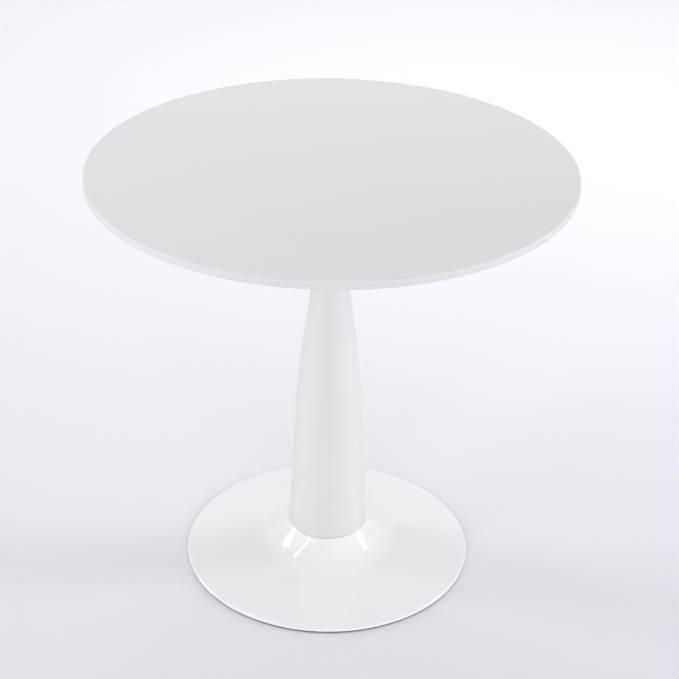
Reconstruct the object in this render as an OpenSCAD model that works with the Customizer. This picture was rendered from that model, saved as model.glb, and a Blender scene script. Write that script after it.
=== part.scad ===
// Round pedestal table: a thin round top on a bottle-shaped column, with a spun
// trumpet foot that is weighted inside and levelled by four screw glides.
// Millimetres, +Z up, the origin on the floor under the middle of the table.
//
// How it holds together, from the top: the board is screwed to a steel plate,
// the hub under the plate takes a tie rod, and the rod passes down through the
// hollow column and the crown of the foot into the ballast, where a nut clamps
// the whole stack.

/* [Overall] */
// Height from the floor to the top surface
table_height = 750; // [720:1:780]
// Diameter of the foot over its rolled rim
foot_d = 506; // [500:1:560]

/* [Tabletop] */
// Diameter of the board
top_d = 800; // [600:10:900]
// Thickness of the board
top_t = 12; // [12:1:25]
// Radius that rounds the board's edges
top_edge_r = 1.5; // [0.5:0.5:3]

/* [Column] */
// Diameter of the column where it stands on the foot
column_foot_d = 139.6; // [136:0.2:142]
// Radius of the column at the shoulder, where the taper quickens
shoulder_r = 61.8; // [60:0.2:64]
// Height of the shoulder above the floor
shoulder_z = 237; // [200:1:260]
// Radius of the slim neck
neck_r = 27; // [26:0.5:32]
// How far below the board the neck begins
neck_len = 58; // [40:1:80]
// Thickness of the column's wall
column_wall = 2; // [1.5:0.1:3]

/* [Foot] */
// Height of the rim's lower edge above the floor
rim_z = 2; // [2:0.1:3]
// Radius of the rolled rim
rim_roll_r = 3.5; // [3.3:0.1:4]
// Rise of the dish for each millimetre towards the column
dish_rise = 0.11; // [0.105:0.005:0.12]
// Radius at which the dish turns up into the flare
flare_r = 130; // [120:1:140]
// Height of the foot's crown, which the column stands on
crown_z = 64.5; // [62:0.5:68]
// Thickness of the spun sheet
foot_sheet = 1.5; // [1.2:0.1:1.5]

/* [Glides] */
// Number of turns that a glide's stud screws out from rest
turns_out = 3; // [1:1:3]
// Distance of the glides from the table's axis
glide_r = 175; // [165:1:177]
// Diameter of a glide's pad
pad_d = 30; // [24:1:34]

/* [Fixings] */
// Number of screws that hold the board
screw_count = 4; // [3:1:8]
// Diameter of the circle that they sit on
screw_circle_d = 240; // [160:5:260]
// Diameter of the steel plate under the board
plate_d = 300; // [280:5:340]
// Thickness of that plate
plate_t = 4; // [3:0.5:4]

/* [Hidden] */
$fn = 96;

white = [0.90, 0.90, 0.89];
zinc = [0.72, 0.73, 0.75];
nylon = [0.20, 0.20, 0.21];
eps = 0.01;

// Levels, from the top down
board_z = table_height - top_t;
plate_z = board_z - plate_t;
neck_washer_t = 1;
column_top_z = plate_z - neck_washer_t;
seat_t = 1.5;
column_z = crown_z + seat_t;

// Radii of the column
column_foot_r = column_foot_d / 2;
neck_bore_r = neck_r - column_wall;

// Thread sizes: the tie rod is M12 and the plate's screws are M6
rod_r = 6;
rod_clear_r = 6.5;
m6_r = 3;
m6_clear_r = 3.3;
insert_r = 4.5;
insert_len = 8;

// Foot
rim_r = foot_d / 2;
rim_arc_r = rim_r - rim_roll_r;
rim_lip = 6;
dish_start_z = rim_z + 2 * rim_roll_r;
crown_round_r = 1.6;
crown_slope = 65;
flare_top_r = column_foot_r;

// Glides
glide_count = 4;
glide_first_angle = 45;
pad_t = 3;
hex_t = 1.8;
hex_af = 13;
hex_play = 0.05;
stud_r = 4;
stud_play = 0.05;
stud_pitch = 1.25;
turns_in = 1;
hex_clear = 0.4;
least_grip = 3;
bush_r = 7;
bush_t = 7;

// Ballast: it follows the underside of the dish at a small distance, and a stud's
// hexagon stays clear of it with the stud screwed right in
ballast_z = pad_t + hex_play + hex_t + turns_in * stud_pitch + hex_clear;
stud_top_z = ballast_z + least_grip + turns_out * stud_pitch;
ballast_r = rim_r - 18;
ballast_top_z = 15;
ballast_gap = 0.6;
boss_r = 42;
nut_pocket_r = 16;
nut_pocket_z = 27;

// ---------------------------------------------------------------- geometry

// A point at t, from 0 to 1, on the cubic curve through p[0] and p[3]
function bezier(p, t) =
    pow(1 - t, 3) * p[0] + 3 * pow(1 - t, 2) * t * p[1]
    + 3 * (1 - t) * t * t * p[2] + pow(t, 3) * p[3];

function curve(p, steps) = [for (i = [0 : steps]) bezier(p, i / steps)];

function arc(centre, r, from, to, steps) =
    [for (i = [0 : steps]) let (a = from + (to - from) * i / steps) centre + r * [cos(a), sin(a)]];

function backwards(list) = [for (i = [len(list) - 1 : -1 : 0]) list[i]];

// The direction to the left of a path at its point i
function left_of(path, i) =
    let (
        before = path[max(i - 1, 0)],
        after = path[min(i + 1, len(path) - 1)],
        along = (after - before) / norm(after - before)
    )
    [-along.y, along.x];

function beside(path, distance) =
    [for (i = [0 : len(path) - 1]) path[i] + distance * left_of(path, i)];

// Turns an outline of [radius, height] points about the table's axis
module turned(outline) {
    rotate_extrude($fn = 180) polygon(outline);
}

module ring(inner_r, outer_r, z, height) {
    difference() {
        translate([0, 0, z]) cylinder(h = height, r = outer_r);
        translate([0, 0, z - 1]) cylinder(h = height + 2, r = inner_r);
    }
}

module hexagon(af, z, height) {
    translate([0, 0, z]) rotate([0, 0, 30]) cylinder(h = height, r = af / 2 / cos(30), $fn = 6);
}

// Places its children at each screw of the board
module at_screws() {
    for (i = [0 : screw_count - 1])
        rotate([0, 0, (i + 0.5) * 360 / screw_count])
            translate([screw_circle_d / 2, 0, 0]) children();
}

// Places its children at glide number i, counted from 0
module at_glide(i) {
    rotate([0, 0, glide_first_angle + i * 360 / glide_count]) translate([glide_r, 0, 0]) children();
}

// ------------------------------------------------------------------ outlines

// Outside of the column, from its foot to the top of the neck: a slight flare,
// the long lower cone, the shoulder and the slim neck. Each slope is the change of
// radius with height, and each pull is how far along its curve the slope is felt.
lower_slope = -0.045;
foot_slope = -0.15;
foot_pull = 0.12;
shoulder_pull = 0.62;
waist_pull = 0.553;
neck_pull = 0.46;
lower_len = shoulder_z - column_z;
neck_z = board_z - neck_len;
waist_len = neck_z - shoulder_z;

lower_curve = [
    [column_foot_r, column_z],
    [column_foot_r + foot_slope * foot_pull * lower_len, column_z + foot_pull * lower_len],
    [shoulder_r - lower_slope * shoulder_pull * lower_len, shoulder_z - shoulder_pull * lower_len],
    [shoulder_r, shoulder_z]
];
waist_curve = [
    [shoulder_r, shoulder_z],
    [shoulder_r + lower_slope * waist_pull * waist_len, shoulder_z + waist_pull * waist_len],
    [neck_r, neck_z - neck_pull * waist_len],
    [neck_r, neck_z]
];

lower_steps = 12;
waist_steps = 28;
column_outside = concat(
    curve(lower_curve, lower_steps),
    [for (i = [1 : waist_steps]) bezier(waist_curve, i / waist_steps)],
    [[neck_r, column_top_z]]
);

// Height of the plain dish at radius r
function dish_z(r) = dish_start_z + dish_rise * (rim_arc_r - r);

// The flare is part of an ellipse, added to the dish. It leaves the dish smoothly at
// radius flare_r and reaches the crown at crown_slope degrees above the horizontal.
flare_rise = crown_z - crown_round_r * (1 - cos(crown_slope)) - dish_z(flare_top_r);
flare_run = flare_r - flare_top_r;
flare_ratio = flare_rise / flare_run / (tan(crown_slope) - dish_rise);
flare_end = acos(flare_ratio / (1 - flare_ratio));
function flare_point(a) =
    let (r = flare_r - flare_run * sin(a) / sin(flare_end))
    [r, dish_z(r) + flare_rise * (1 - cos(a)) / (1 - cos(flare_end))];

// Outside of the foot, from the lip under the rim, round the rolled edge,
// over the dish and up the flare to the rounded edge of the crown
crown_round_centre =
    [flare_top_r - crown_round_r * sin(crown_slope), crown_z - crown_round_r];
flare_steps = 20;
rim_roll = arc([rim_arc_r, rim_z + rim_roll_r], rim_roll_r, -90, 90 - atan(dish_rise), 14);
foot_outside = concat(
    [[rim_arc_r - rim_lip, rim_z]],
    rim_roll,
    [for (i = [0 : flare_steps - 1]) flare_point(flare_end * i / flare_steps)],
    arc(crown_round_centre, crown_round_r, 90 - crown_slope, 90, 5)
);
foot_inside = beside(foot_outside, foot_sheet);

// ------------------------------------------------------------ top and column

// The board, with blind holes for its inserts
module tabletop() {
    r = top_d / 2 - top_edge_r;
    color(white) difference() {
        turned(concat(
            [[0, board_z]],
            arc([r, board_z + top_edge_r], top_edge_r, -90, 0, 6),
            arc([r, table_height - top_edge_r], top_edge_r, 0, 90, 6),
            [[0, table_height]]
        ));
        at_screws() translate([0, 0, board_z - 1]) cylinder(h = insert_len + 1, r = insert_r, $fn = 48);
    }
}

// Brass inserts, flush with the board's underside
module threaded_inserts() {
    color([0.78, 0.62, 0.30]) at_screws() ring(m6_r, insert_r, board_z, insert_len, $fn = 48);
}

// Steel plate, with its lower edge chamfered
module top_plate() {
    r = plate_d / 2;
    chamfer = 1.5;
    color(zinc) difference() {
        turned([
            [0, plate_z], [r - chamfer, plate_z], [r, plate_z + chamfer], [r, board_z], [0, board_z]
        ]);
        at_screws() translate([0, 0, plate_z - 1])
            cylinder(h = plate_t + 2, r = m6_clear_r, $fn = 48);
    }
}

washer_t = 1.6;
washer_r = 6.2;

// M6 button-head screws, with the key's hexagon in the head
module plate_screws() {
    shank = 12.4;
    head_top = plate_z - washer_t;
    head_r = 5.25;
    head_h = 3.3;
    head_edge = 0.8;
    head_flat_r = 2.6;
    key_af = 4;
    key_depth = 2;
    color(zinc) at_screws() difference() {
        union() {
            translate([0, 0, head_top - eps]) cylinder(h = shank, r = m6_r, $fn = 48);
            rotate_extrude($fn = 48) polygon(concat(
                [[0, head_top], [head_r, head_top]],
                [for (a = [0 : 15 : 90]) [
                    head_flat_r + (head_r - head_flat_r) * cos(a),
                    head_top - head_edge - (head_h - head_edge) * sin(a)
                ]],
                [[0, head_top - head_h]]
            ));
        }
        hexagon(key_af, head_top - head_h - 1, key_depth + 1);
    }
}

module plate_washers() {
    color(zinc) at_screws() ring(m6_r + 0.2, washer_r, plate_z - washer_t, washer_t, $fn = 48);
}

hub_r = 18;
hub_len = 38;
hub_chamfer = 2;
rod_top_z = plate_z - 10;

// Boss under the plate: it centres the neck and takes the top of the tie rod
module top_hub() {
    z = plate_z - hub_len;
    color(zinc) difference() {
        turned([
            [0, z], [hub_r - hub_chamfer, z], [hub_r, z + hub_chamfer], [hub_r, plate_z], [0, plate_z]
        ]);
        translate([0, 0, z - 1]) cylinder(h = rod_top_z - z + 1, r = rod_r);
    }
}

module neck_washer() {
    inner_r = neck_bore_r - 5;
    color(nylon) ring(inner_r, neck_r - 0.4, column_top_z, neck_washer_t);
}

// Plastic sleeve between the hub and the inside of the neck
module neck_bush() {
    length = 16;
    color(nylon) ring(hub_r, neck_bore_r, plate_z - hub_len + 2 * hub_chamfer, length);
}

module column_shell() {
    inside = [for (p = column_outside) [p.x - column_wall, p.y]];
    color(white) turned(concat(column_outside, backwards(inside)));
}

// Disc that keeps the foot of the column round and centred on the rod
disc_t = 6;
module centring_disc() {
    color(zinc) difference() {
        ring(rod_clear_r, column_foot_r - column_wall - 1, column_z, disc_t);
        at_dowels() translate([0, 0, column_z - 1]) cylinder(h = disc_t + 2, r = dowel_r, $fn = 48);
    }
}

// Thin ring that shows as the darker joint between the column and the foot
module seat_ring() {
    width = 9.4;
    recess = 0.6;
    outer_r = column_foot_r - recess;
    color([0.45, 0.45, 0.46]) ring(outer_r - width, outer_r, crown_z, seat_t);
}

// ----------------------------------------------------------------------- foot

dowel_r = 2.5;
dowel_pcd = 60;
module at_dowels() {
    for (side = [-1, 1]) translate([side * dowel_pcd / 2, 0, 0]) children();
}

module base_shell() {
    crown_under_z = crown_z - foot_sheet;
    color(white) difference() {
        turned(concat(
            foot_outside,
            [[rod_clear_r, crown_z], [rod_clear_r, crown_under_z]],
            backwards(foot_inside)
        ));
        at_dowels() translate([0, 0, crown_under_z - 1])
            cylinder(h = foot_sheet + 2, r = dowel_r, $fn = 48);
    }
}

// Moulded strip, clipped over the lip of the rim so that the foot can't scratch
// the floor. Its outer edge hugs the first part of the roll.
module rim_edging() {
    thickness = 1.2;
    bevel = 0.4;
    hook = 1.5;
    hugged = [rim_roll[2], rim_roll[1], rim_roll[0]];
    lip_r = rim_arc_r - rim_lip;
    lip_top_z = rim_z + foot_sheet;
    low_z = rim_z - thickness;
    color(nylon) turned(concat(
        [
            [lip_r - thickness, low_z],
            [hugged[0].x - bevel, low_z],
            [hugged[0].x, low_z + bevel]
        ],
        hugged,
        [
            [lip_r, rim_z],
            [lip_r, lip_top_z],
            [lip_r + hook, lip_top_z],
            [lip_r + hook, lip_top_z + thickness],
            [lip_r - thickness, lip_top_z + thickness]
        ]
    ));
}

// M12 rod from the hub to the nut
module tie_rod() {
    rod_bottom_z = ballast_z + 3;
    chamfer = 1;
    color(zinc) turned([
        [0, rod_bottom_z],
        [rod_r - chamfer, rod_bottom_z],
        [rod_r, rod_bottom_z + chamfer],
        [rod_r, rod_top_z - chamfer],
        [rod_r - chamfer, rod_top_z],
        [0, rod_top_z]
    ]);
}

dowel_z = 52;
module dowel_pins() {
    top_z = column_z + disc_t - 1;
    color(zinc) at_dowels() translate([0, 0, dowel_z])
        cylinder(h = top_z - dowel_z, r = dowel_r, $fn = 48);
}

// Cast-iron weight: a disc that follows the dish towards the rim, with a boss
// that carries the crown
module ballast() {
    boss_top_z = crown_z - foot_sheet;
    edge_z = dish_z(ballast_r) - foot_sheet - ballast_gap;
    bevel_r = ballast_r - (ballast_top_z - edge_z) / dish_rise;
    fillet = 5;
    draft = 3;
    lower_edge = [2, 1];
    color([0.27, 0.27, 0.28]) difference() {
        turned([
            [0, ballast_z],
            [ballast_r - lower_edge.x, ballast_z],
            [ballast_r, ballast_z + lower_edge.y],
            [ballast_r, edge_z],
            [bevel_r, ballast_top_z],
            [boss_r + 1 + fillet, ballast_top_z],
            [boss_r + 1, ballast_top_z + fillet],
            [boss_r + 1 - draft, boss_top_z],
            [0, boss_top_z]
        ]);
        cylinder(h = boss_top_z + 1, r = rod_clear_r);
        cylinder(h = nut_pocket_z, r = nut_pocket_r);
        at_dowels() translate([0, 0, dowel_z]) cylinder(h = boss_top_z, r = dowel_r, $fn = 48);
        for (i = [0 : glide_count - 1])
            at_glide(i) cylinder(h = boss_top_z, r = bush_r, $fn = 48);
    }
}

rod_washer_r = 12;
rod_washer_t = 2.5;
lock_washer_r = 10.5;
lock_washer_t = 2.5;
rod_nut_af = 19;
rod_nut_t = 10;

module rod_washer() {
    color(zinc) ring(rod_clear_r, rod_washer_r, nut_pocket_z - rod_washer_t, rod_washer_t);
}

// Spring washer, with the slit that gives it its bite
module rod_lock_washer() {
    z = nut_pocket_z - rod_washer_t - lock_washer_t;
    slit = 1.2;
    slit_angle = 40;
    color(zinc) difference() {
        ring(rod_r + 0.1, lock_washer_r, z, lock_washer_t);
        rotate([0, 0, slit_angle]) translate([0, -slit / 2, z - 1])
            cube([2 * lock_washer_r, slit, lock_washer_t + 2]);
    }
}

module rod_nut() {
    z = nut_pocket_z - rod_washer_t - lock_washer_t - rod_nut_t;
    color(zinc) difference() {
        hexagon(rod_nut_af, z, rod_nut_t);
        translate([0, 0, z - 1]) cylinder(h = rod_nut_t + 2, r = rod_r);
    }
}

// --------------------------------------------------------------------- glides

module glide_bushes() {
    color(zinc) for (i = [0 : glide_count - 1])
        at_glide(i) ring(stud_r + stud_play, bush_r, ballast_z, bush_t, $fn = 48);
}

// Foot of a stud, which snaps into the pad and turns there
snap_r = 5;
snap_neck_r = 3.5;
snap_z = 1;
snap_t = 1;

module glide_stud(i) {
    hex_z = pad_t + hex_play;
    shank_z = hex_z + 0.5;
    chamfer = 0.8;
    color(zinc) at_glide(i) union() {
        rotate_extrude($fn = 48) polygon([
            [0, snap_z],
            [snap_r, snap_z],
            [snap_r, snap_z + snap_t],
            [snap_neck_r, snap_z + snap_t],
            [snap_neck_r, shank_z],
            [stud_r, shank_z],
            [stud_r, stud_top_z - chamfer],
            [stud_r - chamfer, stud_top_z],
            [0, stud_top_z]
        ]);
        hexagon(hex_af, hex_z, hex_t);
    }
}

// Nylon pad, hollowed for the foot of the stud
module glide_pad(i) {
    r = pad_d / 2;
    chamfer = 0.8;
    draft = 0.6;
    color(nylon) at_glide(i) rotate_extrude($fn = 64) polygon([
        [0, 0],
        [r - chamfer, 0],
        [r, chamfer],
        [r - draft, pad_t - chamfer],
        [r - draft - 1.5 * chamfer, pad_t],
        [snap_neck_r + stud_play, pad_t],
        [snap_neck_r + stud_play, snap_z + snap_t + stud_play],
        [snap_r + stud_play, snap_z + snap_t + stud_play],
        [snap_r + stud_play, snap_z - stud_play],
        [0, snap_z - stud_play]
    ]);
}

tabletop();
threaded_inserts();
top_plate();
plate_screws();
plate_washers();
top_hub();
neck_washer();
neck_bush();
column_shell();
centring_disc();
seat_ring();
base_shell();
rim_edging();
tie_rod();
dowel_pins();
ballast();
rod_washer();
rod_lock_washer();
rod_nut();
glide_bushes();
glide_stud(0);  // glide_stud_1
glide_stud(1);  // glide_stud_2
glide_stud(2);  // glide_stud_3
glide_stud(3);  // glide_stud_4
glide_pad(0);  // glide_pad_1
glide_pad(1);  // glide_pad_2
glide_pad(2);  // glide_pad_3
glide_pad(3);  // glide_pad_4
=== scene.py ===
"""Round pedestal table: the looks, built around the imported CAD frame. All lengths are in metres."""

import math
from statistics import fmean

import bmesh
import bpy
from mathutils import Euler, Matrix, Vector


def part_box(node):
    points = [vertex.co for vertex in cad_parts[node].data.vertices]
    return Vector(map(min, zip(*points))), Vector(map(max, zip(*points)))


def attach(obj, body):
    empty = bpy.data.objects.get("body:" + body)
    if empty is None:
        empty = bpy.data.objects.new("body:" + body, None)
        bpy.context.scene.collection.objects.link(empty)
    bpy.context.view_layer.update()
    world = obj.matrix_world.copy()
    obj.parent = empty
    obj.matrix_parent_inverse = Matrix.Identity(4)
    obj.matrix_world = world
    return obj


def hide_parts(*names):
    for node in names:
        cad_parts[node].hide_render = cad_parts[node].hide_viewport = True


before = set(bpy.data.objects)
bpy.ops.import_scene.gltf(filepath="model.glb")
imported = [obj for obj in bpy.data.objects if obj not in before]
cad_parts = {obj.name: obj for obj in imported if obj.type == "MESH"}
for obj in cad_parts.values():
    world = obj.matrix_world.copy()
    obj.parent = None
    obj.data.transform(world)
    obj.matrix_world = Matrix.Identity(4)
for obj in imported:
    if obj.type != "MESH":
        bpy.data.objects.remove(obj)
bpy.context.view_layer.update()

BODY = "table"
SEGMENTS = 288              # round the large turned pieces
FINE_SEGMENTS = 96          # round the small turned pieces
CORNER_TURN = math.radians(22)      # an outline that turns by more than this has a corner there
RING_PLACES = 5             # decimals, in metres, by which the vertices of a CAD mesh are put in rings
RING_VERTICES = 24          # the fewest vertices that make a whole ring
SHARP_ANGLE = math.radians(38)
SAME_POINT = 2e-5
STRAIGHT_WITHIN = 2e-6
CORNER_SHARE = 0.42         # the most of a straight that is given up to rounding one of its corners
ON_AXIS = 1e-7              # a smaller radius is a single vertex
THREAD_DEPTH = 0.61         # of the pitch
THREAD_CREST = 0.125        # half the width of a thread's crest, as a share of the pitch's half
THREAD_FLANK = 0.625
HEX_CHAMFER = math.radians(30)
HEX_FLAT = 0.48             # radius of the flat on a nut, as a share of its width


# Sizes of the hardware

def four_round(radius):
    """Four places at equal angles round the axis, between the X and Y directions."""
    quarters = (math.radians(a) for a in (45, 135, 225, 315))
    return tuple((radius * math.cos(a), radius * math.sin(a)) for a in quarters)


SCREW_CENTRES = four_round(0.12)
GLIDE_CENTRES = four_round(0.175)
SCREW_R = 0.003
SCREW_HEAD_R = 0.00525
SCREW_CROWN_R = 0.0026      # where the button head's dome starts
SCREW_HEAD_SIDE = 0.0008
SOCKET_CHAMFER = 0.0002
DOME_STEPS = 8
SCREW_HEAD_LOW = 0.7291
SCREW_HEAD_HIGH = 0.7324
SCREW_TOP = 0.7447
SOCKET_ACROSS = 0.004
SOCKET_DEPTH = 0.002
SOCKET_MOUTH_R = 0.61 * SOCKET_ACROSS
ROD_R = 0.006
ROD_PITCH = 0.00175
ROD_THREAD = 0.04
ROD_CHAMFER = 0.001
ROD_NUT_ACROSS = 0.019
STUD_R = 0.004
STUD_PITCH = 0.00125
STUD_ACROSS = 0.013
STUD_FOOT_R = 0.005
STUD_NECK_R = 0.0035
STUD_FOOT_T = 0.001
STUD_HEX_LOW = 0.00305
STUD_HEX_HIGH = 0.00485


# ------------------------------------------------------------------ outlines of turned pieces

def rings_of(node, centre):
    """The rings of vertices of a turned CAD node: the (radius, height) of each, and which it meets."""
    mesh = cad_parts[node].data
    exact = [(math.hypot(v.co.x - centre[0], v.co.y - centre[1]), v.co.z) for v in mesh.vertices]
    ring_of = [(round(radius, RING_PLACES), round(height, RING_PLACES)) for radius, height in exact]
    members = {}
    for ring, place in zip(ring_of, exact):
        members.setdefault(ring, []).append(place)
    whole = {ring: Vector((fmean(p[0] for p in places), fmean(p[1] for p in places)))
             for ring, places in members.items() if len(places) >= RING_VERTICES}
    meets = {ring: set() for ring in whole}
    for edge in mesh.edges:
        a, b = (ring_of[i] for i in edge.vertices)
        if a != b and a in whole and b in whole:
            meets[a].add(b)
            meets[b].add(a)
    return whole, meets


def corners_only(points, closed):
    """The outline without its repeated points and without the points part of the way along a straight."""
    kept = [p for i, p in enumerate(points) if i == 0 or (p - points[i - 1]).length > SAME_POINT]
    i = 0 if closed else 1
    while i < len(kept) - (0 if closed else 1):
        before, after = kept[i - 1], kept[(i + 1) % len(kept)]
        along = (after - before).normalized()
        offset = kept[i] - before
        if abs(along.x * offset.y - along.y * offset.x) < STRAIGHT_WITHIN:
            kept.pop(i)
        else:
            i += 1
    return kept


def outline_of(node, centre=(0, 0)):
    """The outline that was turned to make a CAD node, as Vectors (radius, height) in order, and whether
    it closes on itself. An outline that doesn't close starts and ends on the axis."""
    places, meets = rings_of(node, centre)
    ends = sorted(ring for ring in meets if len(meets[ring]) == 1)
    path = [ends[0] if ends else min(meets)]
    while True:
        onward = [ring for ring in sorted(meets[path[-1]]) if ring not in path]
        if not onward:
            break
        path.append(onward[0])
    points = [places[ring] for ring in path]
    if ends:
        points = [Vector((0, points[0].y)), *points, Vector((0, points[-1].y))]
    return corners_only(points, not ends), not ends


def turn_at(points, i, closed):
    """How far the outline turns at its point i, in radians."""
    if not closed and i in (0, len(points) - 1):
        return 0.0
    before = points[i] - points[i - 1]
    after = points[(i + 1) % len(points)] - points[i]
    return abs(before.angle_signed(after))


def tangent_at(points, i, closed, along):
    """The direction of the outline at its point i. A sharp corner, and the end of an open outline, keep
    the direction along; where a curve meets a much longer straight, the straight gives the direction."""
    if turn_at(points, i, closed) > CORNER_TURN or (not closed and i in (0, len(points) - 1)):
        return along
    before = points[i] - points[i - 1]
    after = points[(i + 1) % len(points)] - points[i]
    if before.length > 2 * after.length:
        return before.normalized()
    if after.length > 2 * before.length:
        return after.normalized()
    return (before.normalized() * after.length + after.normalized() * before.length).normalized()


def smoothed(points, closed, longest):
    """The same outline with its shallow bends made into curves, in steps no longer than longest."""
    out = []
    for i in range(len(points) if closed else len(points) - 1):
        j = (i + 1) % len(points)
        a, b = points[i], points[j]
        length = (b - a).length
        along = (b - a) / length
        start = tangent_at(points, i, closed, along) * length
        end = tangent_at(points, j, closed, along) * length
        bends = (start - end).length > STRAIGHT_WITHIN
        steps = max(1, math.ceil(length / longest)) if bends else 1
        for k in range(steps):
            t = k / steps
            out.append(
                a * (2 * t**3 - 3 * t**2 + 1) + start * (t**3 - 2 * t**2 + t)
                + b * (3 * t**2 - 2 * t**3) + end * (t**3 - t**2)
            )
    if not closed:
        out.append(points[-1].copy())
    return out


def eased(points, closed, radius, steps=4):
    """The outline with each sharp corner rounded to about radius, as a real edge is."""
    total = len(points)
    out = []
    for i in range(total):
        if turn_at(points, i, closed) <= CORNER_TURN:
            out.append(points[i])
            continue
        corner = points[i]
        before, after = points[i - 1] - corner, points[(i + 1) % total] - corner
        reach = min(radius, CORNER_SHARE * before.length, CORNER_SHARE * after.length)
        start, end = corner + before.normalized() * reach, corner + after.normalized() * reach
        for k in range(steps + 1):
            t = k / steps
            out.append(start * (1 - t) ** 2 + corner * 2 * t * (1 - t) + end * t**2)
    return out


# ------------------------------------------------------------------ meshes

def value_at(value, angle):
    return value(angle) if callable(value) else value


def loft(rings, closed, segments, centre=(0, 0)):
    """(vertices, faces) of a skin over rings about the vertical line through centre. Each ring is
    (radius, height), and either of them may be a function of the angle."""
    vertices, faces, loops = [], [], []
    for radius, height in rings:
        first = len(vertices)
        if not callable(radius) and radius < ON_AXIS:
            vertices.append((centre[0], centre[1], height))
            loops.append([first] * segments)
            continue
        for s in range(segments):
            a = 2 * math.pi * s / segments
            r = value_at(radius, a)
            vertices.append(
                (centre[0] + r * math.cos(a), centre[1] + r * math.sin(a), value_at(height, a))
            )
        loops.append(list(range(first, first + segments)))
    pairs = zip(loops, loops[1:] + loops[:1]) if closed else zip(loops, loops[1:])
    for low, high in pairs:
        for s in range(segments):
            t = (s + 1) % segments
            face = list(dict.fromkeys((low[s], low[t], high[t], high[s])))
            if len(face) > 2:
                faces.append(face)
    return vertices, faces


def build(name, skins, material, node, body=BODY):
    """One piece made of skins, which stands for a CAD node: smooth, with its sharp corners kept."""
    vertices, faces = [], []
    for skin_vertices, skin_faces in skins:
        first = len(vertices)
        vertices += skin_vertices
        faces += [[first + i for i in face] for face in skin_faces]
    mesh = bpy.data.meshes.new(name)
    mesh.from_pydata(vertices, [], faces)
    work = bmesh.new()
    work.from_mesh(mesh)
    bmesh.ops.recalc_face_normals(work, faces=work.faces)
    work.to_mesh(mesh)
    work.free()
    mesh.shade_smooth()
    mesh.set_sharp_from_angle(angle=SHARP_ANGLE)
    mesh.materials.append(material)
    piece = bpy.data.objects.new(name, mesh)
    bpy.context.scene.collection.objects.link(piece)
    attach(piece, body)
    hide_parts(node)
    return piece


def turned_node(node, material, longest=0.004, ease=0.0004, segments=SEGMENTS, centres=((0, 0),),
                body=BODY):
    """A finely made piece that stands for a turned CAD node, and keeps its outline. A node of several
    equal solids is turned about each of its centres."""
    points, closed = outline_of(node, centres[0])
    points = eased(smoothed(points, closed, longest), closed, ease)
    rings = [(p.x, p.y) for p in points]
    skins = [loft(rings, closed, segments, centre) for centre in centres]
    return build(f"{node}_finished", skins, material, node, body)


def six_sided(across, turn=0.0):
    """The radius of a hexagon that is across wide over its flats, as a function of the angle."""
    def radius(angle):
        sixth = math.pi / 3
        return across / 2 / math.cos((angle - turn + sixth / 2) % sixth - sixth / 2)
    return radius


def nut_rings(across, bore, low, high, turn=0.0):
    """Rings of a hexagon with chamfered corners, from the bore below, round the outside, to the bore."""
    outside = six_sided(across, turn)
    flat = HEX_FLAT * across

    def drop(angle):
        return (outside(angle) - flat) * math.tan(HEX_CHAMFER)

    return [
        (bore, low), (flat, low), (outside, lambda a: low + drop(a)),
        (outside, lambda a: high - drop(a)), (flat, high), (bore, high),
    ]


def thread_rings(radius, pitch, low, high, rows=10):
    """Rings of a screw thread with chamfered ends, from low to high."""
    depth = THREAD_DEPTH * pitch
    count = max(2, round((high - low) / pitch * rows))

    def at(z):
        def outside(angle):
            phase = (z / pitch - angle / (2 * math.pi)) % 1.0
            cut = min(1.0, max(0.0, (abs(2 * phase - 1) - THREAD_CREST) / THREAD_FLANK))
            return min(radius - depth * cut, radius - depth + min(z - low, high - z))
        return outside

    heights = [low + (high - low) * j / count for j in range(count + 1)]
    return [(0.0, low), *((at(z), z) for z in heights), (0.0, high)]


# ------------------------------------------------------------------ materials

PAINT_IOR = 1.5
CLOUD_SIZE = 0.11           # of the faint clouds in a painted surface's tone
GRAIN_SIZE = 0.0016
PATCH_SIZE = 0.035          # of the patches that are a little more or less glossy
ROUGH_SPREAD = 0.03
FINE_PEEL = 0.3             # the finer orange peel's size, as a share of the coarser
FINE_PEEL_HEIGHT = 0.15


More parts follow.
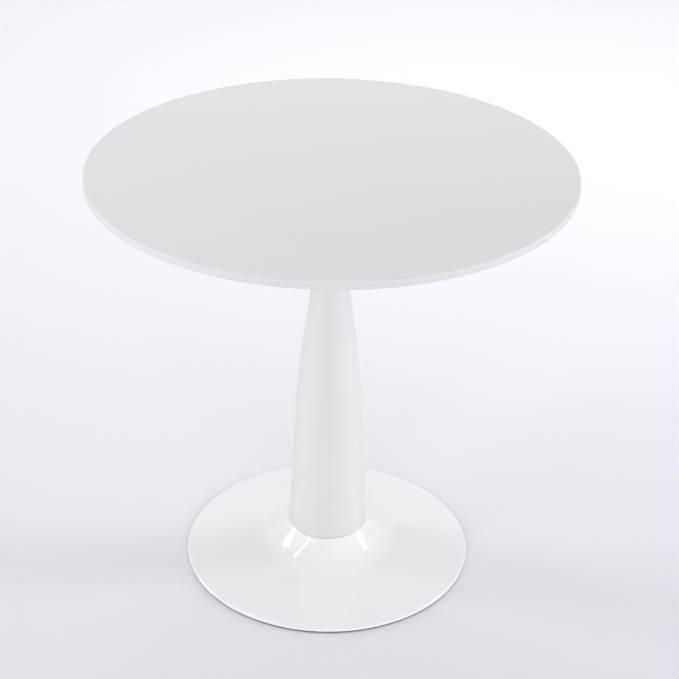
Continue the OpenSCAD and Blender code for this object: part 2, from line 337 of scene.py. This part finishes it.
class Graph:
    """A material's node tree, with short ways to add and join its nodes."""

    def __init__(self, name):
        self.material = bpy.data.materials.new(name)
        self.material.use_nodes = True
        self.tree = self.material.node_tree
        self.shader = self.tree.nodes["Principled BSDF"]
        self.place = self.add("ShaderNodeTexCoord").outputs["Object"]

    def add(self, kind, settings=None, **inputs):
        node = self.tree.nodes.new(kind)
        for key, value in (settings or {}).items():
            setattr(node, key, value)
        for key, value in inputs.items():
            self.put(node.inputs[key.replace("_", " ")], value)
        return node

    def put(self, socket, value):
        if isinstance(value, bpy.types.NodeSocket):
            self.tree.links.new(value, socket)
        else:
            socket.default_value = value

    def set(self, **inputs):
        for key, value in inputs.items():
            self.put(self.shader.inputs[key.replace("_", " ")], value)

    def stretched(self, scale, turn=(0, 0, 0)):
        return self.add("ShaderNodeMapping", Vector=self.place, Scale=scale, Rotation=turn).outputs["Vector"]

    def noise(self, size, detail=2.0, rough=0.5, place=None, distortion=0.0):
        """Noise between 0 and 1, whose lumps are about size metres across."""
        return self.add(
            "ShaderNodeTexNoise", Vector=place or self.place, Scale=1 / size, Detail=detail,
            Roughness=rough, Distortion=distortion,
        ).outputs["Fac"]

    def ranged(self, value, low, high, new_low, new_high):
        node = self.add(
            "ShaderNodeMapRange", From_Min=low, From_Max=high, To_Min=new_low, To_Max=new_high, Value=value
        )
        return node.outputs["Result"]

    def maths(self, operation, a, b=0.0):
        node = self.add("ShaderNodeMath", {"operation": operation})
        self.put(node.inputs[0], a)
        self.put(node.inputs[1], b)
        return node.outputs["Value"]

    def mixed(self, share, a, b):
        """Colour a where share is 0 and b where it is 1."""
        node = self.add("ShaderNodeMix", {"data_type": "RGBA"})
        self.put(node.inputs["Factor"], share)
        colours = [s for s in node.inputs if s.type == "RGBA"]
        self.put(colours[0], a)
        self.put(colours[1], b)
        return next(s for s in node.outputs if s.type == "RGBA")

    def height(self):
        return self.add("ShaderNodeSeparateXYZ", Vector=self.place).outputs["Z"]

    def bumps(self, *layers):
        """Real relief: each layer is a pattern from 0 to 1 and its height in metres."""
        normal = None
        for pattern, height in layers:
            bump = self.add("ShaderNodeBump", Height=pattern, Distance=height, Strength=1.0)
            if normal is not None:
                self.put(bump.inputs["Normal"], normal)
            normal = bump.outputs["Normal"]
        self.set(Normal=normal)


def shade(colour, factor):
    return (*(min(1.0, c * factor) for c in colour), 1.0)


def hairlines(graph, share=0.72):
    """Fine scratches from use, in three directions: 1 on a scratch and 0 between."""
    total = None
    for k, turn in enumerate((0.3, 1.45, 2.4)):
        place = graph.stretched((14, 900 - 90 * k, 14), (0, 0, turn))
        streak = graph.add("ShaderNodeTexNoise", Vector=place, Scale=1.0, Detail=1.0).outputs["Fac"]
        line = graph.ranged(streak, share, share + 0.06, 0.0, 1.0)
        total = line if total is None else graph.maths("MAXIMUM", total, line)
    return total


def painted(name, colour, roughness, peel_size, peel_height, scratches=0.0, mottle=0.012):
    """White paint on a smooth base: cloudy by about mottle, with its orange peel and fine scratches."""
    graph = Graph(name)
    cloud = graph.noise(CLOUD_SIZE, 3.0)
    grain = graph.noise(GRAIN_SIZE, 1.0)
    tone = graph.mixed(cloud, shade(colour, 1 - mottle), shade(colour, 1 + mottle))
    tone = graph.mixed(graph.ranged(grain, 0.3, 0.7, 0.0, 0.35), tone, shade(colour, 1 - 1.5 * mottle))
    patches = graph.noise(PATCH_SIZE, 4.0)
    rough = graph.ranged(patches, 0.3, 0.7, roughness - ROUGH_SPREAD, roughness + ROUGH_SPREAD)
    if scratches:
        worn = graph.maths("MULTIPLY", hairlines(graph), scratches)
        rough = graph.maths("ADD", rough, worn)
    graph.set(Base_Color=tone, Roughness=rough, IOR=PAINT_IOR)
    graph.bumps(
        (graph.noise(peel_size, 1.0), peel_height),
        (graph.noise(peel_size * FINE_PEEL, 1.0), peel_height * FINE_PEEL_HEIGHT),
    )
    return graph.material


def board_lacquer():
    return painted(
        "board_lacquer", (0.812, 0.811, 0.832), 0.42, 0.0011, 6e-6, scratches=0.08, mottle=0.008
    )


def column_paint():
    return painted("column_paint", (0.72, 0.717, 0.715), 0.36, 0.0022, 7e-6)


def board_edging_painted_shade():
    """The band round the board's edge: a little warmer than its face, and darker as painted shade on the
    upright edge.
    """
    return painted("board_edging_painted_shade", (0.71, 0.71, 0.702), 0.4, 0.0014, 4e-6, mottle=0.008)


def board_underside():
    """The primed underside of the board, duller than its face."""
    return painted("board_primer", (0.70, 0.70, 0.69), 0.62, 0.0008, 1.5e-5, mottle=0.02)


def foot_lacquer():
    material = painted("foot_lacquer", (0.868, 0.868, 0.882), 0.1, 0.006, 1.5e-6, scratches=0.04)
    shader = material.node_tree.nodes["Principled BSDF"]
    shader.inputs["Coat Weight"].default_value = 1.0
    shader.inputs["Coat Roughness"].default_value = 0.05
    return material


def plate_coat():
    return painted("plate_coat", (0.62, 0.62, 0.62), 0.55, 0.0009, 1.6e-5, mottle=0.03)


def zinc():
    """Bright zinc plate, with the faint colours of its passivation and turning marks."""
    graph = Graph("zinc_plate")
    cloud = graph.noise(0.012, 4.0)
    tint = graph.mixed(graph.ranged(cloud, 0.35, 0.65, 0, 1), (0.66, 0.66, 0.70, 1), (0.70, 0.68, 0.60, 1))
    dull = graph.noise(0.0018, 3.0)
    tone = graph.mixed(graph.ranged(dull, 0.5, 0.75, 0, 0.5), tint, (0.42, 0.42, 0.43, 1))
    rough = graph.ranged(dull, 0.3, 0.7, 0.24, 0.42)
    marks = graph.add(
        "ShaderNodeTexWave", {"bands_direction": "Z"}, Vector=graph.place, Scale=420.0, Distortion=2.0
    ).outputs["Fac"]
    graph.set(Base_Color=tone, Metallic=1.0, Roughness=rough)
    graph.bumps((marks, 4e-6), (graph.noise(0.0006, 2.0), 5e-6))
    return graph.material


def brass():
    graph = Graph("turned_brass")
    cloud = graph.noise(0.004, 3.0)
    tone = graph.mixed(cloud, (0.72, 0.50, 0.20, 1), (0.80, 0.62, 0.30, 1))
    marks = graph.add(
        "ShaderNodeTexWave", {"bands_direction": "Z"}, Vector=graph.place, Scale=900.0, Distortion=1.0
    ).outputs["Fac"]
    graph.set(Base_Color=tone, Metallic=1.0, Roughness=graph.ranged(cloud, 0.3, 0.7, 0.2, 0.36))
    graph.bumps((marks, 6e-6))
    return graph.material


def nylon(name, colour, scuffed):
    """Moulded plastic with a fine spark-eroded grain, scuffed pale where it meets the floor."""
    graph = Graph(name)
    grain = graph.noise(0.0004, 3.0)
    tone = graph.mixed(graph.ranged(grain, 0.35, 0.65, 0, 1), shade(colour, 0.85), shade(colour, 1.15))
    if scuffed:
        sole = graph.ranged(graph.height(), 0.0002, 0.0007, 1.0, 0.0)
        rub = graph.ranged(graph.noise(0.0011, 5.0), 0.45, 0.6, 0.0, 1.0)
        tone = graph.mixed(graph.maths("MULTIPLY", sole, rub), tone, (0.16, 0.155, 0.15, 1))
    rough = graph.ranged(graph.noise(0.003, 3.0), 0.3, 0.7, 0.42, 0.58)
    graph.set(Base_Color=tone, Roughness=rough)
    graph.bumps((grain, 1.4e-5))
    return graph.material


def cast_iron():
    """Sand-cast iron under thin black paint, rubbed through to grey on its high spots."""
    graph = Graph("cast_iron_paint")
    sand = graph.noise(0.0013, 6.0, 0.62)
    swell = graph.noise(0.016, 3.0)
    bare = graph.ranged(graph.maths("ADD", sand, graph.maths("MULTIPLY", swell, 0.6)), 0.93, 1.02, 0, 1)
    dust = graph.ranged(graph.noise(0.06, 4.0), 0.45, 0.7, 0.0, 0.35)
    tone = graph.mixed(bare, (0.028, 0.028, 0.03, 1), (0.15, 0.145, 0.14, 1))
    tone = graph.mixed(dust, tone, (0.11, 0.10, 0.09, 1))
    graph.set(Base_Color=tone, Roughness=graph.ranged(sand, 0.3, 0.7, 0.5, 0.75))
    graph.bumps((swell, 3e-4), (sand, 2.2e-4))
    return graph.material


def floor_paper():
    graph = Graph("floor_paper")
    cloud = graph.noise(0.9, 3.0)
    tone = graph.mixed(cloud, (0.80, 0.796, 0.838, 1), (0.81, 0.806, 0.848, 1))
    graph.set(Base_Color=tone, Roughness=graph.ranged(graph.noise(0.02, 3.0), 0.3, 0.7, 0.6, 0.7),
              Specular_IOR_Level=0.12)
    graph.bumps((graph.noise(0.0012, 3.0), 2e-5))
    return graph.material


# ------------------------------------------------------------------ the camera

CAMERA_PLACE = Vector((0.0, -2.5744, 1.8903))
CAMERA_DOWN = math.radians(29.533)
CAMERA_RIGHT = math.radians(0.367)
CAMERA_ROLL = math.radians(0.981)
CAMERA_LENS = 92.04         # millimetres, on a sensor 36 mm wide


def make_camera():
    camera = bpy.data.objects.new("camera", bpy.data.cameras.new("camera"))
    camera.data.sensor_width = 36.0
    camera.data.lens = CAMERA_LENS
    camera.data.clip_end = 100.0
    camera.location = CAMERA_PLACE
    turn = Euler((0, 0, -CAMERA_RIGHT)).to_matrix()
    turn @= Euler((math.pi / 2 - CAMERA_DOWN, 0, 0)).to_matrix()
    turn @= Euler((0, 0, CAMERA_ROLL)).to_matrix()
    camera.rotation_mode = "QUATERNION"
    camera.rotation_quaternion = turn.to_quaternion()
    bpy.context.scene.collection.objects.link(camera)
    bpy.context.scene.camera = camera


# ------------------------------------------------------------------ floor and light

FLOOR_R = 25.0
WORLD_COLOUR = (0.99, 0.99, 1.0, 1)
WORLD_STRENGTH = 0.55


def softbox(name, foot, head, width, brightness, aim=(0, 0, 0.4), spread=180, matt=True, gloss=True):
    """A flat lamp width across, whose middle line runs from foot to head, turned to face the point aim.
    It lights matt surfaces, is mirrored in gloss, or does both."""
    lamp = bpy.data.lights.new(name, "AREA")
    lamp.shape = "RECTANGLE"
    lamp.size = width
    lamp.size_y = math.dist(foot, head)
    lamp.spread = math.radians(spread)
    lamp.energy = brightness * math.pi * lamp.size * lamp.size_y
    centre = (Vector(foot) + Vector(head)) / 2
    up = (Vector(head) - Vector(foot)).normalized()
    back = centre - Vector(aim)
    back = (back - back.dot(up) * up).normalized()
    box = bpy.data.objects.new(name, lamp)
    box.matrix_world = Matrix.Translation(centre) @ Matrix((up.cross(back), up, back)).transposed().to_4x4()
    box.visible_diffuse = matt
    box.visible_glossy = gloss
    bpy.context.scene.collection.objects.link(box)


def make_floor():
    bpy.ops.mesh.primitive_circle_add(vertices=96, radius=FLOOR_R, fill_type="NGON")
    floor = bpy.context.object
    floor.name = "floor"
    floor.data.materials.append(floor_paper())


def make_studio():
    """The floor, an even pale world and the lamps."""
    make_floor()
    world = bpy.data.worlds.new("studio")
    world.use_nodes = True
    background = world.node_tree.nodes["Background"]
    background.inputs["Color"].default_value = WORLD_COLOUR
    background.inputs["Strength"].default_value = WORLD_STRENGTH
    bpy.context.scene.world = world
    # the boxes and the strip that show as highlights on the gloss foot
    softbox("box_left", (-8.28, 1.46, 0.09), (-7.94, 2.74, 6.75), 2.2, 4.75)
    softbox("box_right", (8.4, -0.3, 0.09), (8.16, 2.04, 7.75), 1.5, 7.85)
    softbox("strip_left", (-1.71, -1.71, 0.65), (-1.35, 0.17, 2.1), 0.07, 8.0)
    # the soft light from above and behind, and from the walls of the studio
    softbox("back", (0, 1.5, 3.1), (0, 2.6, 3.1), 1.6, 1.7, aim=(0, 2.0, 0), spread=100, gloss=False)
    softbox("back_right", (1.9, 1.3, 2.6), (2.5, 2.4, 2.4), 1.2, 0.87, aim=(1.6, 1.4, 0), spread=90,
            gloss=False)
    softbox("wall_back", (0, 3.8, 0.02), (0, 3.8, 2.4), 6.0, 0.44, aim=(0, 0, 1.2), gloss=False)
    softbox("wall_right", (3.4, 0.6, 0.02), (3.4, 0.6, 2.2), 4.0, 0.25, aim=(0, 0.6, 1.1), gloss=False)
    softbox("wall_front", (0, -17.0, 0.02), (0, -17.0, 9.6), 18.5, 2.6, aim=(0, 0, 4.8), gloss=False)
    # the pale backdrop that the back of the foot mirrors
    softbox("backdrop", (-0.53, 4.4, -0.55), (0, 4.4, 2.81), 9.0, 0.25, aim=(-0.26, 0, 1.13), matt=False)
    bpy.context.scene.view_settings.view_transform = "Standard"


# ------------------------------------------------------------------ the table

FACES_DOWN = -0.95          # upward part of a face's normal below which it belongs to the underside
FACES_OUT = 0.5             # and that within which it belongs to the edge


def make_tabletop():
    """The board, with one material on its face, one underneath and one round its edge, which is darkened as
    painted shade.
    """
    board = turned_node("tabletop", board_lacquer(), ease=0.0002)
    board.data.materials.append(board_underside())
    board.data.materials.append(board_edging_painted_shade())
    # the faces that face sideways get the edge paint, whose darker tone is painted shade
    for face in board.data.polygons:
        if face.normal.z < FACES_DOWN:
            face.material_index = 1
        elif abs(face.normal.z) < FACES_OUT:
            face.material_index = 2


def make_plate(metal):
    """The steel plate with its washers and button-head screws."""
    turned_node("top_plate", plate_coat(), ease=0.0005)
    turned_node(
        "plate_washers", metal, ease=0.0002, segments=FINE_SEGMENTS, centres=SCREW_CENTRES
    )
    socket = six_sided(SOCKET_ACROSS)
    socket_floor = SCREW_HEAD_LOW + SOCKET_DEPTH
    rings = [(0.0, socket_floor), (socket, socket_floor), (socket, SCREW_HEAD_LOW + SOCKET_CHAMFER),
             (SOCKET_MOUTH_R, SCREW_HEAD_LOW)]
    dome = SCREW_HEAD_HIGH - SCREW_HEAD_LOW - SCREW_HEAD_SIDE
    for k in range(DOME_STEPS + 1):
        a = math.pi / 2 * (1 - k / DOME_STEPS)
        out = SCREW_CROWN_R + (SCREW_HEAD_R - SCREW_CROWN_R) * math.cos(a)
        rings.append((out, SCREW_HEAD_LOW + dome * (1 - math.sin(a))))
    rings += [(SCREW_HEAD_R, SCREW_HEAD_HIGH), (SCREW_R, SCREW_HEAD_HIGH), (SCREW_R, SCREW_TOP),
              (0.0, SCREW_TOP)]
    skins = [loft(rings, False, FINE_SEGMENTS, centre) for centre in SCREW_CENTRES]
    build("plate_screws_finished", skins, metal, "plate_screws")


def make_rod(metal):
    """The tie rod, threaded at its lower end, with its nut and washer."""
    low, high = (corner[2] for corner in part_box("tie_rod"))
    screw = thread_rings(ROD_R, ROD_PITCH, low, low + ROD_THREAD)
    plain = [(0.0, low + ROD_THREAD), (ROD_R, low + ROD_THREAD), (ROD_R, high - ROD_CHAMFER),
             (ROD_R - ROD_CHAMFER, high), (0.0, high)]
    build(
        "tie_rod_finished", [loft(screw, False, FINE_SEGMENTS), loft(plain, False, FINE_SEGMENTS)],
        metal, "tie_rod",
    )
    low, high = (corner[2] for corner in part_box("rod_nut"))
    nut = nut_rings(ROD_NUT_ACROSS, ROD_R, low, high)
    build("rod_nut_finished", [loft(nut, True, FINE_SEGMENTS)], metal, "rod_nut")
    turned_node("rod_washer", metal, ease=0.0003, segments=FINE_SEGMENTS)


def make_glide(number, centre, metal, plastic):
    """A levelling screw: its threaded stud with a hexagon, and the pad that it turns in."""
    turned_node(
        f"glide_pad_{number}", plastic, longest=0.001, ease=0.0003, segments=FINE_SEGMENTS,
        centres=(centre,), body=f"pad_{number}",
    )
    node = f"glide_stud_{number}"
    low, high = (corner[2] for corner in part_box(node))
    turn = math.atan2(centre[1], centre[0])
    shoulder = low + STUD_FOOT_T
    hexagon = nut_rings(STUD_ACROSS, STUD_NECK_R, STUD_HEX_LOW, STUD_HEX_HIGH, turn)[1:-1]
    foot = [(0.0, low), (STUD_FOOT_R, low), (STUD_FOOT_R, shoulder), (STUD_NECK_R, shoulder),
            (STUD_NECK_R, STUD_HEX_LOW), *hexagon, (0.0, STUD_HEX_HIGH)]
    screw = thread_rings(STUD_R, STUD_PITCH, STUD_HEX_HIGH, high)
    build(
        f"{node}_finished",
        [loft(foot, False, FINE_SEGMENTS, centre), loft(screw, False, FINE_SEGMENTS, centre)],
        metal, node, body=f"stud_{number}",
    )


def finish_hidden(names, material):
    """Gives the CAD nodes that stay in view their material."""
    for name in names:
        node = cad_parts[name]
        node.data.materials.clear()
        node.data.materials.append(material)


def main():
    make_camera()
    make_studio()
    metal = zinc()
    black = nylon("black_nylon", (0.022, 0.022, 0.024), True)
    grey = nylon("grey_nylon", (0.58, 0.58, 0.585), False)
    make_tabletop()
    make_plate(metal)
    turned_node("neck_washer", black, ease=0.0002)
    turned_node("column_shell", column_paint(), ease=0.0005)
    turned_node("seat_ring", grey, ease=0.0005)
    turned_node("base_shell", foot_lacquer(), longest=0.002, ease=0.0003)
    # the black edging ring under the rim: partly the base's own edge strip, partly painted shade that
    # darkens the line under the rim
    turned_node("rim_edging", black, longest=0.002, ease=0.0002)
    make_rod(metal)
    turned_node(
        "glide_bushes", metal, ease=0.0003, segments=FINE_SEGMENTS, centres=GLIDE_CENTRES
    )
    for number, centre in enumerate(GLIDE_CENTRES, start=1):
        make_glide(number, centre, metal, black)
    finish_hidden(["top_hub", "centring_disc", "dowel_pins", "rod_lock_washer"], metal)
    finish_hidden(["threaded_inserts"], brass())
    finish_hidden(["ballast"], cast_iron())
    finish_hidden(["neck_bush"], black)


main()
